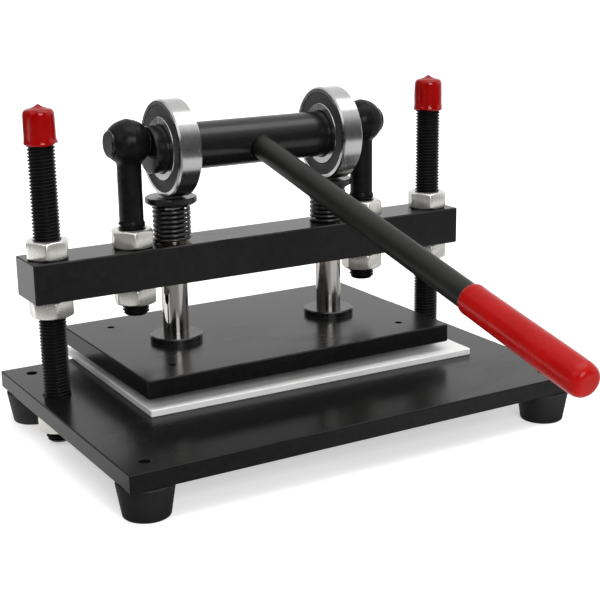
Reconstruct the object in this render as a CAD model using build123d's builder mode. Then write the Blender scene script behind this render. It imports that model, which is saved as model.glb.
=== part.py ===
from build123d import *
import math
import os

# Manual die cutting machine, in millimetres.
# X runs along the press line, -Y points to the operator, Z = 0 is the bench.
# The origin is under the middle of the whole machine's box, with the lever at rest.

# Base plate on four feet
base_length = 369
base_depth = 249
base_thickness = 13
base_edge = 1
foot_height = 24
foot_top_d = 40
foot_bottom_d = 32
foot_rounding = 1.5
foot_inset = 18.5
foot_recess_d = 17
foot_recess_depth = 9
foot_stud_d = 8
stud_below_top = 4

# Columns, M20, with their nuts and dipped caps
thread_d = 20
thread_clearance = 0.05
column_x = 166.7
column_below_base = 35
column_above_base = 207.5
column_chamfer = 1.5
press_line_back = 48.3
nut_flats = 29.2
nut_height = 16
nut_corner_r = 1.2
cap_d = 22.6
cap_lip_d = 23.4
cap_bottom = 184.2
cap_top = 210.1
cap_nub_top = 213.7
cap_shoulder_r = 3.5
cap_cone_r = 3.6
cap_cone_rise = 1.3
cap_tip_r = 0.9

# Cross beam
beam_length = 369
beam_depth = 38
beam_height = 29.4
beam_bottom = 73.9
beam_edge = 0.8
clearance_hole_d = 21
bush_d = 26
running_clearance = 0.05

# Eye bolts
eye_x = 101
pivot_height = 180
eye_ball_d = 34
eye_half_width = 13.4
eye_shank_d = 18
eye_thread_top = 121
eye_bolt_end = 51.7
eye_neck_r = 3

# Eccentric shaft: the body runs 7 mm off the pivot line of its two journals
shaft_d = 35
shaft_half_length = 87.2
journal_d = 20
journal_end = 117
eccentricity = 7
rest_angle = 28

# Lever
lever_drop = 13.2
lever_d = 17.6
lever_tenon_d = 14
lever_seat = 11.5
lever_tenon_end = -8
grip_start = 278.5
grip_end = 387.5
grip_start_d = 20.5
grip_end_d = 21.5
grip_rounding = 8

# Ball bearings 6207
bearing_x = 68.6
bearing_d = 72
bearing_width = 17
bearing_chamfer = 1.1
inner_ring_d = 46.9
seal_seat_d = 64.4
outer_shoulder_d = 60.6
ball_count = 9
ball_pitch_d = 53.5
ball_d = 11
groove_r = 5.65
seal_thickness = 1.5
seal_recess = 0.3
cage_half_width = 6.4

# Plungers
guide_rod_d = 20
cap_disc_d = 39
cap_disc_thickness = 6.5
cap_disc_rim = 4
cap_disc_foot_d = 31
cap_socket_depth = 3.5
roller_gap = 0.3
collar_d = 40
collar_thickness = 5
grub_screw_d = 3
grub_screw_length = 8
grub_screw_turn = 35
rod_recess = 2

# Return springs
spring_d = 29
spring_wire_d = 2.7
spring_turns = 7.5
spring_ground = 0.55

# Platen
platen_length = 259.4
platen_depth = 164.6
platen_thickness = 14.2
platen_bottom = 12
platen_corner_r = 2
platen_edge = 0.8
platen_hole_d = 6
platen_hole_x = 99
platen_hole_y = 57
platen_screw_d = 8
platen_screw_head_d = 16
platen_screw_length = 30

# Cutting board, lying a little askew on the base
board_length = 275.8
board_depth = 175
board_thickness = 5
board_corner_r = 1.5
board_edge = 0.5
board_x = 10.3
board_back = 0.4
board_turn = -1.1

# Heights above the bench
plate_top = foot_height + base_thickness
beam_z = plate_top + beam_bottom
beam_top = beam_z + beam_height
pivot_z = plate_top + pivot_height
platen_z = plate_top + platen_bottom
platen_top = platen_z + platen_thickness

# The box runs from the grip's end to the board's back corner, and the origin is in its middle
drop = math.radians(lever_drop)
grip_reach = (
    (grip_end - grip_rounding) * math.cos(drop)
    + (grip_end_d / 2 - grip_rounding) * math.sin(drop)
    + grip_rounding
)
offset_y = eccentricity * math.sin(math.radians(rest_angle))
offset_z = eccentricity * math.cos(math.radians(rest_angle))
skew = math.radians(-board_turn)
board_reach = (
    board_back
    + (board_depth / 2 - board_corner_r) * math.cos(skew)
    + (board_length / 2 - board_corner_r) * math.sin(skew)
    + board_corner_r
)
press_y = (grip_reach + offset_y - board_reach) / 2
base_y = press_y - press_line_back

# Line of the shaft's body and of the bearings
shaft_y = press_y - offset_y
shaft_z = pivot_z - offset_z
cap_disc_top = shaft_z - bearing_d / 2 - roller_gap
cap_disc_bottom = cap_disc_top - cap_disc_thickness

sides = (("left", -1), ("right", 1))
os.makedirs("parts", exist_ok=True)


def upright(x, y=press_y, z=0):
    # Drawing plane that holds an upright axis: radius to the right, height upwards
    return Plane(origin=(x, y, z), x_dir=(1, 0, 0), z_dir=(0, -1, 0))


def turned_upright(x, y, points):
    # A turned piece about an upright axis, from points of radius and height
    with BuildPart() as piece:
        with BuildSketch(upright(x, y)):
            with BuildLine():
                Polyline(*points, close=True)
            make_face()
        revolve(axis=Axis((x, y, 0), (0, 0, 1)))
    return piece.part


def turned_on_shaft(x, points):
    # A turned piece about the shaft's line, from points of distance from x and radius
    with BuildPart() as piece:
        with BuildSketch(upright(x, shaft_y, shaft_z)):
            with BuildLine():
                Polyline(*points, close=True)
            make_face()
        revolve(axis=Axis((x, shaft_y, shaft_z), (1, 0, 0)))
    return piece.part


def hex_nut(x, bottom, turn, bore_d):
    # M20 nut: hexagon with rounded corners, both faces turned to a 30 degree chamfer
    face_r = nut_flats / 2 - 0.4
    corner_r = nut_flats / math.sqrt(3)
    fall = (corner_r - face_r) * math.tan(math.radians(30))
    with BuildPart() as nut:
        with BuildSketch(Plane(origin=(x, press_y, bottom))) as hexagon:
            RegularPolygon(nut_flats / 2, 6, major_radius=False, rotation=turn)
            fillet(hexagon.vertices(), nut_corner_r)
            Circle(bore_d / 2, mode=Mode.SUBTRACT)
        extrude(amount=nut_height)
        with BuildSketch(upright(x, press_y, bottom)):
            with BuildLine():
                Polyline(
                    (0, 0),
                    (face_r, 0),
                    (corner_r, fall),
                    (corner_r, nut_height - fall),
                    (face_r, nut_height),
                    (0, nut_height),
                    close=True,
                )
            make_face()
        revolve(axis=Axis((x, press_y, bottom), (0, 0, 1)), mode=Mode.INTERSECT)
        mouths = nut.edges().filter_by(lambda edge: abs(edge.length - math.pi * bore_d) < 0.1)
        chamfer(mouths, 0.8)
    return nut.part


# Base plate: threaded for the columns and for the four foot studs
stud_x = base_length / 2 - foot_inset
stud_y = base_depth / 2 - foot_inset
stud_places = [
    (i * stud_x, base_y + j * stud_y, 0) for i in (-1, 1) for j in (-1, 1)
]

with BuildPart() as base_plate:
    with BuildSketch(Plane(origin=(0, base_y, foot_height))):
        Rectangle(base_length, base_depth)
    extrude(amount=base_thickness)
    fillet(base_plate.edges(), base_edge)
    with Locations([(i * column_x, press_y, plate_top) for i in (-1, 1)]):
        CounterSinkHole(thread_d / 2, thread_d / 2 + 0.8, counter_sink_angle=90)
    with Locations([(x, y, plate_top) for x, y, z in stud_places]):
        CounterSinkHole(foot_stud_d / 2, foot_stud_d / 2 + 0.5, counter_sink_angle=90)

base_plate.part.label = "base_plate"
export_step(base_plate.part, "parts/base_plate.step")

# Rubber feet: tapered, with a recess below for the head of the stud
foot_points = [
    (foot_stud_d / 2, foot_height),
    (foot_top_d / 2, foot_height),
    (foot_bottom_d / 2, 0),
    (foot_recess_d / 2, 0),
    (foot_recess_d / 2, foot_recess_depth),
    (foot_stud_d / 2, foot_recess_depth),
]
with BuildPart() as foot:
    with BuildSketch(upright(0, 0)) as foot_section:
        with BuildLine():
            Polyline(*foot_points, close=True)
        make_face()
        fillet(foot_section.vertices().group_by(Axis.X)[-2].sort_by(Axis.Z)[:1], foot_rounding)
        fillet(foot_section.vertices().sort_by(Axis.X)[-1], 1)
    revolve(axis=Axis.Z)

with BuildPart() as rubber_feet:
    with Locations(stud_places):
        add(foot.part)

rubber_feet.part.label = "rubber_feet"
export_step(rubber_feet.part, "parts/rubber_feet.step")

# Foot studs: socket screws from below, ending under the plate's top face
stud_head_r = 6.5
stud_head_bottom = foot_recess_depth - 7.5
stud_top = plate_top - stud_below_top
with BuildPart() as stud:
    with BuildSketch(upright(0, 0)):
        with BuildLine():
            Polyline(
                (0, stud_head_bottom),
                (stud_head_r - 0.6, stud_head_bottom),
                (stud_head_r, stud_head_bottom + 0.6),
                (stud_head_r, foot_recess_depth),
                (foot_stud_d / 2, foot_recess_depth),
                (foot_stud_d / 2, stud_top - 0.8),
                (foot_stud_d / 2 - 0.8, stud_top),
                (0, stud_top),
                close=True,
            )
        make_face()
    revolve(axis=Axis.Z)
    with BuildSketch(Plane.XY.offset(stud_head_bottom)):
        RegularPolygon(3, 6, major_radius=False)
    extrude(amount=4, mode=Mode.SUBTRACT)

with BuildPart() as foot_studs:
    with Locations(stud_places):
        add(stud.part)

foot_studs.part.label = "foot_studs"
export_step(foot_studs.part, "parts/foot_studs.step")

# Columns and their dipped caps, with the drip point left by dipping
column_foot = plate_top - column_below_base
column_top = plate_top + column_above_base
column_r = thread_d / 2
for side, sign in sides:
    x = sign * column_x
    column = turned_upright(
        x,
        press_y,
        [
            (0, column_foot),
            (column_r - column_chamfer, column_foot),
            (column_r, column_foot + column_chamfer),
            (column_r, column_top - column_chamfer),
            (column_r - column_chamfer, column_top),
            (0, column_top),
        ],
    )
    column.label = f"{side}_column"
    export_step(column, f"parts/{side}_column.step")

    with BuildPart() as column_cap:
        with BuildSketch(upright(x, press_y, plate_top)) as cap_section:
            with BuildLine():
                Polyline(
                    (column_r, cap_bottom),
                    (cap_lip_d / 2 - 0.3, cap_bottom),
                    (cap_lip_d / 2, cap_bottom + 1.2),
                    (cap_d / 2, cap_bottom + 3),
                    (cap_d / 2, cap_top - cap_shoulder_r),
                    (cap_d / 2 - cap_shoulder_r, cap_top),
                    (cap_cone_r, cap_top + cap_cone_rise),
                    (cap_tip_r, cap_nub_top - 0.4),
                    (0, cap_nub_top),
                    (0, column_above_base),
                    (column_r - column_chamfer, column_above_base),
                    (column_r, column_above_base - column_chamfer),
                    close=True,
                )
            make_face()
            shoulder = cap_section.vertices().filter_by(
                lambda v: abs(v.Z - plate_top - cap_top) < 0.1
                or abs(v.Z - plate_top - cap_top + cap_shoulder_r) < 0.1
            )
            fillet(shoulder, 2)
        revolve(axis=Axis((x, press_y, 0), (0, 0, 1)))
    column_cap.part.label = f"{side}_column_cap"
    export_step(column_cap.part, f"parts/{side}_column_cap.step")

# Nuts, each turned as it stands on the machine: left and right angle of a corner from +X
nut_bore = thread_d + 2 * thread_clearance
nut_rows = [
    ("column_base_nuts", column_x, foot_height - nut_height, (6, 20), thread_d),
    ("column_lower_nuts", column_x, beam_z - nut_height, (23, 12), nut_bore),
    ("column_upper_nuts", column_x, beam_top, (8, 5), nut_bore),
    ("eye_bolt_lower_nuts", eye_x, beam_z - nut_height, (14, 19), thread_d),
    ("eye_bolt_upper_nuts", eye_x, beam_top, (14, 19), thread_d),
]
for name, x, bottom, turns, bore_d in nut_rows:
    pair = [
        hex_nut(sign * x, bottom, turn, bore_d) for (side, sign), turn in zip(sides, turns)
    ]
    with BuildPart() as nuts:
        add(pair)
    nuts.part.label = name
    export_step(nuts.part, f"parts/{name}.step")

# Cross beam, bored for the columns, the eye bolts and the guide bushes
with BuildPart() as cross_beam:
    with BuildSketch(Plane(origin=(0, press_y, beam_z))):
        Rectangle(beam_length, beam_depth)
    extrude(amount=beam_height)
    chamfer(cross_beam.edges(), beam_edge)
    with Locations([(i * x, press_y, beam_top) for i in (-1, 1) for x in (column_x, eye_x)]):
        Hole(clearance_hole_d / 2)
    with Locations([(i * bearing_x, press_y, beam_top) for i in (-1, 1)]):
        Hole(bush_d / 2)

cross_beam.part.label = "cross_beam"
export_step(cross_beam.part, "parts/cross_beam.step")

# Guide bushes and eye bolts
bush_r = guide_rod_d / 2 + running_clearance
for side, sign in sides:
    bush = turned_upright(
        sign * bearing_x,
        press_y,
        [
            (bush_r, beam_z + 0.6),
            (bush_r + 0.6, beam_z),
            (bush_d / 2, beam_z),
            (bush_d / 2, beam_top),
            (bush_r + 0.6, beam_top),
            (bush_r, beam_top - 0.6),
        ],
    )
    bush.label = f"{side}_guide_bush"
    export_step(bush, f"parts/{side}_guide_bush.step")

    x = sign * eye_x
    thread_end = plate_top + eye_bolt_end
    thread_top = plate_top + eye_thread_top
    shank_r = eye_shank_d / 2
    shank = turned_upright(
        x,
        press_y,
        [
            (0, thread_end),
            (column_r - column_chamfer, thread_end),
            (column_r, thread_end + column_chamfer),
            (column_r, thread_top),
            (shank_r, thread_top + 1.2),
            (shank_r, pivot_z),
            (0, pivot_z),
        ],
    )
    neck_z = pivot_z - math.sqrt((eye_ball_d / 2) ** 2 - shank_r**2)
    with BuildPart() as eye_bolt:
        add(shank)
        with Locations((x, press_y, pivot_z)):
            Sphere(eye_ball_d / 2)
        neck = eye_bolt.edges().filter_by(lambda edge: abs(edge.center().Z - neck_z) < 0.1)
        fillet(neck, eye_neck_r)
        for face_sign in (-1, 1):
            face_plane = Plane(
                origin=(x + face_sign * eye_half_width, press_y, pivot_z),
                z_dir=(face_sign, 0, 0),
            )
            with BuildSketch(face_plane):
                Circle(eye_ball_d / 2)
            extrude(amount=eye_ball_d / 2, mode=Mode.SUBTRACT)
        with BuildSketch(Plane(origin=(x, press_y, pivot_z), z_dir=(1, 0, 0))):
            Circle(journal_d / 2 + running_clearance)
        extrude(amount=eye_half_width, both=True, mode=Mode.SUBTRACT)
    eye_bolt.part.label = f"{side}_eye_bolt"
    export_step(eye_bolt.part, f"parts/{side}_eye_bolt.step")

# Eccentric shaft: body, two offset journals and the seat of the lever in its middle
lever_axis = Plane(
    origin=(0, shaft_y, shaft_z),
    x_dir=(0, -math.cos(drop), -math.sin(drop)),
    z_dir=(-1, 0, 0),
)
shaft_body = turned_on_shaft(
    0,
    [
        (-shaft_half_length, 0),
        (-shaft_half_length, shaft_d / 2 - 0.8),
        (-shaft_half_length + 0.8, shaft_d / 2),
        (shaft_half_length - 0.8, shaft_d / 2),
        (shaft_half_length, shaft_d / 2 - 0.8),
        (shaft_half_length, 0),
    ],
)
with BuildPart() as journals:
    with BuildSketch(upright(0, press_y, pivot_z)):
        with BuildLine():
            Polyline(
                (-journal_end, 0),
                (-journal_end, journal_d / 2 - 1.2),
                (-journal_end + 1.2, journal_d / 2),
                (journal_end - 1.2, journal_d / 2),
                (journal_end, journal_d / 2 - 1.2),
                (journal_end, 0),
                close=True,
            )
        make_face()
    revolve(axis=Axis((0, press_y, pivot_z), (1, 0, 0)))

with BuildPart() as eccentric_shaft:
    add(shaft_body)
    add(journals.part)
    with BuildSketch(lever_axis):
        with BuildLine():
            Polyline(
                (lever_tenon_end, 0),
                (lever_tenon_end, lever_tenon_d / 2),
                (lever_seat, lever_tenon_d / 2),
                (lever_seat, lever_d / 2),
                (shaft_d / 2 - 2.4, lever_d / 2),
                (shaft_d / 2 + 2, lever_d / 2 + 4.4),
                (shaft_d / 2 + 2, 0),
                close=True,
            )
        make_face()
    revolve(axis=Axis(lever_axis.origin, lever_axis.x_dir), mode=Mode.SUBTRACT)

eccentric_shaft.part.label = "eccentric_shaft"
export_step(eccentric_shaft.part, "parts/eccentric_shaft.step")

# Lever rod, with a threaded tenon in the shaft
rod_end = grip_end - 1.6
with BuildPart() as lever_rod:
    with BuildSketch(lever_axis):
        with BuildLine():
            Polyline(
                (lever_tenon_end, 0),
                (lever_tenon_end, lever_tenon_d / 2),
                (lever_seat, lever_tenon_d / 2),
                (lever_seat, lever_d / 2),
                (rod_end - 1.5, lever_d / 2),
                (rod_end, lever_d / 2 - 1.5),
                (rod_end, 0),
                close=True,
            )
        make_face()
    revolve(axis=Axis(lever_axis.origin, lever_axis.x_dir))

lever_rod.part.label = "lever_rod"
export_step(lever_rod.part, "parts/lever_rod.step")

# Dipped grip: swells towards its rounded end
with BuildPart() as lever_grip:
    with BuildSketch(lever_axis):
        with BuildLine():
            Polyline(
                (grip_start, lever_d / 2),
                (grip_start, grip_start_d / 2 - 0.5),
                (grip_start + 0.8, grip_start_d / 2),
                (grip_end - grip_rounding, grip_end_d / 2),
            )
            ThreePointArc(
                (grip_end - grip_rounding, grip_end_d / 2),
                (
                    grip_end - grip_rounding * (1 - math.sqrt(0.5)),
                    grip_end_d / 2 - grip_rounding * (1 - math.sqrt(0.5)),
                ),
                (grip_end, grip_end_d / 2 - grip_rounding),
            )
            Polyline(
                (grip_end, grip_end_d / 2 - grip_rounding),
                (grip_end, 0),
                (rod_end, 0),
                (rod_end, lever_d / 2 - 1.5),
                (rod_end - 1.5, lever_d / 2),
                (grip_start, lever_d / 2),
            )
        make_face()
    revolve(axis=Axis(lever_axis.origin, lever_axis.x_dir))

lever_grip.part.label = "lever_grip"
export_step(lever_grip.part, "parts/lever_grip.step")

# Ball bearings that push the plungers down
half_width = bearing_width / 2
pitch_r = ball_pitch_d / 2
seal_out = half_width - seal_recess
seal_in = seal_out - seal_thickness
for side, sign in sides:
    x = sign * bearing_x
    ring_plane = Plane(origin=(x, shaft_y, shaft_z), z_dir=(1, 0, 0))
    with BuildPart() as groove:
        with BuildSketch(upright(x, shaft_y, shaft_z)):
            with Locations((0, pitch_r)):
                Circle(groove_r)
        revolve(axis=Axis((x, shaft_y, shaft_z), (1, 0, 0)))

    inner_blank = turned_on_shaft(
        x,
        [
            (-half_width, shaft_d / 2 + bearing_chamfer),
            (-half_width, inner_ring_d / 2 - 0.4),
            (-half_width + 0.4, inner_ring_d / 2),
            (half_width - 0.4, inner_ring_d / 2),
            (half_width, inner_ring_d / 2 - 0.4),
            (half_width, shaft_d / 2 + bearing_chamfer),
            (half_width - bearing_chamfer, shaft_d / 2),
            (-half_width + bearing_chamfer, shaft_d / 2),
        ],
    )
    with BuildPart() as inner_ring:
        add(inner_blank)
        add(groove.part, mode=Mode.SUBTRACT)
    inner_ring.part.label = f"{side}_bearing_inner_ring"
    export_step(inner_ring.part, f"parts/{side}_bearing_inner_ring.step")

    outer_blank = turned_on_shaft(
        x,
        [
            (-half_width, seal_seat_d / 2),
            (-half_width, bearing_d / 2 - bearing_chamfer),
            (-half_width + bearing_chamfer, bearing_d / 2),
            (half_width - bearing_chamfer, bearing_d / 2),
            (half_width, bearing_d / 2 - bearing_chamfer),
            (half_width, seal_seat_d / 2),
            (seal_in, seal_seat_d / 2),
            (seal_in, outer_shoulder_d / 2),
            (-seal_in, outer_shoulder_d / 2),
            (-seal_in, seal_seat_d / 2),
        ],
    )
    with BuildPart() as outer_ring:
        add(outer_blank)
        add(groove.part, mode=Mode.SUBTRACT)
    outer_ring.part.label = f"{side}_bearing_outer_ring"
    export_step(outer_ring.part, f"parts/{side}_bearing_outer_ring.step")

    # Seals, dished inside their rim, with a lip that clears the inner ring
    lip_r = inner_ring_d / 2 + 0.3
    seal_pair = [
        turned_on_shaft(
            x,
            [
                (face * seal_in, lip_r),
                (face * seal_in, seal_seat_d / 2),
                (face * seal_out, seal_seat_d / 2),
                (face * seal_out, seal_seat_d / 2 - 2.2),
                (face * (seal_out - 0.4), seal_seat_d / 2 - 2.6),
                (face * (seal_out - 0.4), lip_r + 2),
                (face * (seal_out - 0.1), lip_r + 1.6),
                (face * (seal_out - 0.1), lip_r),
            ],
        )
        for face in (-1, 1)
    ]
    with BuildPart() as seals:
        add(seal_pair)
    seals.part.label = f"{side}_bearing_seals"
    export_step(seals.part, f"parts/{side}_bearing_seals.step")

    with BuildPart(ring_plane) as balls:
        with PolarLocations(pitch_r, ball_count):
            Sphere(ball_d / 2)
    balls.part.label = f"{side}_bearing_balls"
    export_step(balls.part, f"parts/{side}_bearing_balls.step")

    with BuildPart(ring_plane) as cage:
        with BuildSketch(ring_plane):
            Circle(pitch_r + 1.4)
            Circle(pitch_r - 1.4, mode=Mode.SUBTRACT)
        extrude(amount=cage_half_width, both=True)
        with PolarLocations(pitch_r, ball_count):
            Cylinder(ball_d / 2 + 0.1, 6, rotation=(0, 90, 0), mode=Mode.SUBTRACT)
    cage.part.label = f"{side}_bearing_cage"
    export_step(cage.part, f"parts/{side}_bearing_cage.step")

# Platen, with corner holes, seats for the rods and countersinks below
with BuildPart() as platen:
    with BuildSketch(Plane(origin=(0, press_y, platen_z))):
        RectangleRounded(platen_length, platen_depth, platen_corner_r)
    extrude(amount=platen_thickness)
    chamfer(platen.faces().filter_by(Axis.Z).edges(), platen_edge)
    corner_holes = [
        (i * platen_hole_x, press_y + j * platen_hole_y, platen_top)
        for i in (-1, 1)
        for j in (-1, 1)
    ]
    with Locations(corner_holes):
        Hole(platen_hole_d / 2)
    with Locations([(i * bearing_x, press_y, platen_top) for i in (-1, 1)]):
        CounterBoreHole(platen_screw_d / 2, guide_rod_d / 2, rod_recess)
    with BuildSketch(Plane(origin=(0, press_y, platen_z))):
        with Locations([(i * bearing_x, 0) for i in (-1, 1)]):
            Circle(platen_screw_head_d / 2)
    extrude(amount=(platen_screw_head_d - platen_screw_d) / 2, taper=45, mode=Mode.SUBTRACT)

platen.part.label = "platen"
export_step(platen.part, "parts/platen.step")

# Countersunk screws that hold the platen on the rods
screw_tip = platen_z + platen_screw_length
screw_pair = []
for side, sign in sides:
    screw = turned_upright(
        sign * bearing_x,
        press_y,
        [
            (0, platen_z + 2.8),
            (2.5, platen_z + 2.8),
            (2.5, platen_z + 0.3),
            (platen_screw_head_d / 2 - 0.3, platen_z + 0.3),
            (platen_screw_d / 2, platen_z + (platen_screw_head_d - platen_screw_d) / 2),
            (platen_screw_d / 2, screw_tip - 0.8),
            (platen_screw_d / 2 - 0.8, screw_tip),
            (0, screw_tip),
        ],
    )
    screw_pair.append(screw)
with BuildPart() as platen_screws:
    add(screw_pair)

platen_screws.part.label = "platen_screws"
export_step(platen_screws.part, "parts/platen_screws.step")

# Guide rods, collars, plunger caps
rod_r = guide_rod_d / 2
rod_bottom = platen_top - rod_recess
rod_top = cap_disc_bottom + cap_socket_depth
tapped_top = screw_tip + 4
collar_top = platen_top + collar_thickness
grub_height = platen_top + collar_thickness / 2
grub_screws = []
for side, sign in sides:
    x = sign * bearing_x
    rod = turned_upright(
        x,
        press_y,
        [
            (platen_screw_d / 2, rod_bottom),
            (rod_r, rod_bottom),
            (rod_r, rod_top - 0.8),
            (rod_r - 0.8, rod_top),
            (0, rod_top),
            (0, tapped_top),
            (platen_screw_d / 2, tapped_top - 2.3),
        ],
    )
    rod.label = f"{side}_guide_rod"
    export_step(rod, f"parts/{side}_guide_rod.step")

    collar_blank = turned_upright(
        x,
        press_y,
        [
            (rod_r, platen_top),
            (collar_d / 2, platen_top),
            (collar_d / 2, collar_top - 0.8),
            (collar_d / 2 - 0.8, collar_top),
            (rod_r, collar_top),
        ],
    )
    # Two grub screws in each collar, either side of the front
    screw_planes = []
    for turn in (-grub_screw_turn, grub_screw_turn):
        angle = math.radians(turn)
        outward = (math.sin(angle), -math.cos(angle), 0)
        screw_planes.append(Plane(origin=(x, press_y, grub_height), z_dir=outward))
    with BuildPart() as collar:
        add(collar_blank)
        for screw_plane in screw_planes:
            with BuildSketch(screw_plane.offset(rod_r - 0.5)):
                Circle(grub_screw_d / 2)
            extrude(amount=collar_d / 2, mode=Mode.SUBTRACT)
    collar.part.label = f"{side}_rod_collar"
    export_step(collar.part, f"parts/{side}_rod_collar.step")

    for screw_plane in screw_planes:
        with BuildPart() as grub:
            with BuildSketch(screw_plane.offset(rod_r + 0.2)):
                Circle(grub_screw_d / 2)
            extrude(amount=grub_screw_length)
            with BuildSketch(screw_plane.offset(rod_r + 0.2 + grub_screw_length)):
                RegularPolygon(0.75, 6, major_radius=False)
            extrude(amount=-1.5, mode=Mode.SUBTRACT)
        grub_screws.append(grub.part)

    cap_disc = turned_upright(
        x,
        press_y,
        [
            (0, cap_disc_bottom + cap_socket_depth),
            (rod_r, cap_disc_bottom + cap_socket_depth),
            (rod_r, cap_disc_bottom),
            (cap_disc_foot_d / 2, cap_disc_bottom),
            (cap_disc_d / 2 - 0.4, cap_disc_top - cap_disc_rim - 0.3),
            (cap_disc_d / 2, cap_disc_top - cap_disc_rim + 0.4),
            (cap_disc_d / 2, cap_disc_top - 0.8),
            (cap_disc_d / 2 - 0.8, cap_disc_top),
            (0, cap_disc_top),
        ],
    )
    cap_disc.label = f"{side}_plunger_cap"
    export_step(cap_disc, f"parts/{side}_plunger_cap.step")

with BuildPart() as collar_grub_screws:
    add(grub_screws)

collar_grub_screws.part.label = "collar_grub_screws"
export_step(collar_grub_screws.part, "parts/collar_grub_screws.step")

# Return springs: one helix each, on biarcs of half a turn, with both ends ground flat
spring_r = (spring_d - spring_wire_d) / 2
spring_low = beam_top + spring_wire_d / 2 - spring_ground
spring_high = cap_disc_bottom - spring_wire_d / 2 + spring_ground
spring_pitch = (spring_high - spring_low) / spring_turns


def helix_point(turn):
    angle = 2 * math.pi * turn
    return Vector(
        spring_r * math.cos(angle),
        spring_r * math.sin(angle),
        spring_low + spring_pitch * turn,
    )


def helix_tangent(turn):
    angle = 2 * math.pi * turn
    rise = spring_pitch / (2 * math.pi)
    return Vector(-spring_r * math.sin(angle), spring_r * math.cos(angle), rise).normalized()


def biarc_joint(start, start_dir, end, end_dir):
    # Where two arcs meet that leave start and reach end along the given directions
    gap = end - start
    both = start_dir + end_dir
    bend = 2 * (1 - start_dir.dot(end_dir))
    along = gap.dot(both)
    reach = (-along + math.sqrt(along**2 + bend * gap.dot(gap))) / bend
    return (start + start_dir * reach + end - end_dir * reach) * 0.5


with BuildLine() as coil_line:
    for half in range(int(spring_turns * 2)):
        start, end = helix_point(half / 2), helix_point(half / 2 + 0.5)
        start_dir, end_dir = helix_tangent(half / 2), helix_tangent(half / 2 + 0.5)
        joint = biarc_joint(start, start_dir, end, end_dir)
        first = TangentArc(start, joint, tangent=start_dir)
        TangentArc(joint, end, tangent=first % 1)

coil_path = coil_line.wire()
samples = 60
coil_points = [coil_path @ (i / (samples * spring_turns)) for i in range(int(samples * spring_turns) + 1)]
least_gap = min(
    (coil_points[i] - coil_points[j]).length
    for i in range(len(coil_points))
    for j in range(i + samples // 2, len(coil_points))
)
print("spring: least gap to itself", round(least_gap - spring_wire_d, 2), "mm, pitch", round(spring_pitch, 2))

with BuildPart() as coil:
    with BuildSketch(Plane(origin=coil_path @ 0, z_dir=coil_path % 0)):
        Circle(spring_wire_d / 2)
    sweep(path=coil_path)

with BuildPart() as ground_coil:
    add(coil.part)
    with BuildSketch(Plane.XY.offset(beam_top)):
        Circle(spring_d)
    extrude(amount=cap_disc_bottom - beam_top - 0.02, mode=Mode.INTERSECT)

for side, sign in sides:
    with BuildPart() as spring:
        with Locations((sign * bearing_x, press_y, 0)):
            add(ground_coil.part)
    spring.part.label = f"{side}_spring"
    export_step(spring.part, f"parts/{side}_spring.step")

# Cutting board
with BuildPart() as cutting_board:
    board_plane = Plane(origin=(board_x, press_y + board_back, plate_top)).rotated((0, 0, board_turn))
    with BuildSketch(board_plane):
        RectangleRounded(board_length, board_depth, board_corner_r)
    extrude(amount=board_thickness)
    chamfer(cutting_board.faces().filter_by(Axis.Z).edges(), board_edge)

cutting_board.part.label = "cutting_board"
export_step(cutting_board.part, "parts/cutting_board.step")
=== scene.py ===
import math

import bmesh
import bpy
from mathutils import Matrix, Vector, noise


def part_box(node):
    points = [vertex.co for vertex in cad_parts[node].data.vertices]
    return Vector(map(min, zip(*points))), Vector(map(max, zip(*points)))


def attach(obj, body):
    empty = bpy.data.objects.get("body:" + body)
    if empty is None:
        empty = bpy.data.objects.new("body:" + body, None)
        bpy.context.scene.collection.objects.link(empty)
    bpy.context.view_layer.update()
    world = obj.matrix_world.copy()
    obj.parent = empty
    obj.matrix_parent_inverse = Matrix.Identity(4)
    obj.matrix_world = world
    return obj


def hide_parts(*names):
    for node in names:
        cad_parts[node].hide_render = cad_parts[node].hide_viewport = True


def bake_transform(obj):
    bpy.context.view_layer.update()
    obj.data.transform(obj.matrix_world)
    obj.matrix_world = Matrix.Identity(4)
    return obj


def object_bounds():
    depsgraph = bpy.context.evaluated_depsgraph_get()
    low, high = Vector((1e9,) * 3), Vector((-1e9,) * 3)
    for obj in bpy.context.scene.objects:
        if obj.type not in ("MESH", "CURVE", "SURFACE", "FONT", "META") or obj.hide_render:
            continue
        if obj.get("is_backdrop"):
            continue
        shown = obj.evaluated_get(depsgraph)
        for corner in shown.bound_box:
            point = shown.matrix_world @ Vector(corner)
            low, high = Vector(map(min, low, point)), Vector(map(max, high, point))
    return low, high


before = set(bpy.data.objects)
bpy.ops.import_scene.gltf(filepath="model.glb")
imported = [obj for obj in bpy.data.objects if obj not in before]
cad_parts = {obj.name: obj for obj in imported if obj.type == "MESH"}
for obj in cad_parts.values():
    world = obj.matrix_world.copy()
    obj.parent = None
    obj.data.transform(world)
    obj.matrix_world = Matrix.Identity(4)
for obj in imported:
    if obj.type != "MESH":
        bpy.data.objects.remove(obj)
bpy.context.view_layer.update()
scene = bpy.context.scene
print("stage: frame loaded")


# Short ways to build node trees
def linkOrSet(tree, socket, value):
    if isinstance(value, bpy.types.NodeSocket):
        tree.links.new(value, socket)
    else:
        socket.default_value = value


def addNode(tree, kind, inputs=None, **settings):
    node = tree.nodes.new(kind)
    for name, value in settings.items():
        setattr(node, name, value)
    for key, value in (inputs or {}).items():
        linkOrSet(tree, node.inputs[key], value)
    return node


def calc(tree, operation, *values):
    node = addNode(tree, "ShaderNodeMath", operation=operation)
    for socket, value in zip(node.inputs, values):
        linkOrSet(tree, socket, value)
    return node.outputs[0]


def plus(tree, total, *others):
    for other in others:
        total = calc(tree, "ADD", total, other)
    return total


def minus(tree, first, second):
    return calc(tree, "SUBTRACT", first, second)


def times(tree, product, *others):
    for other in others:
        product = calc(tree, "MULTIPLY", product, other)
    return product


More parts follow.
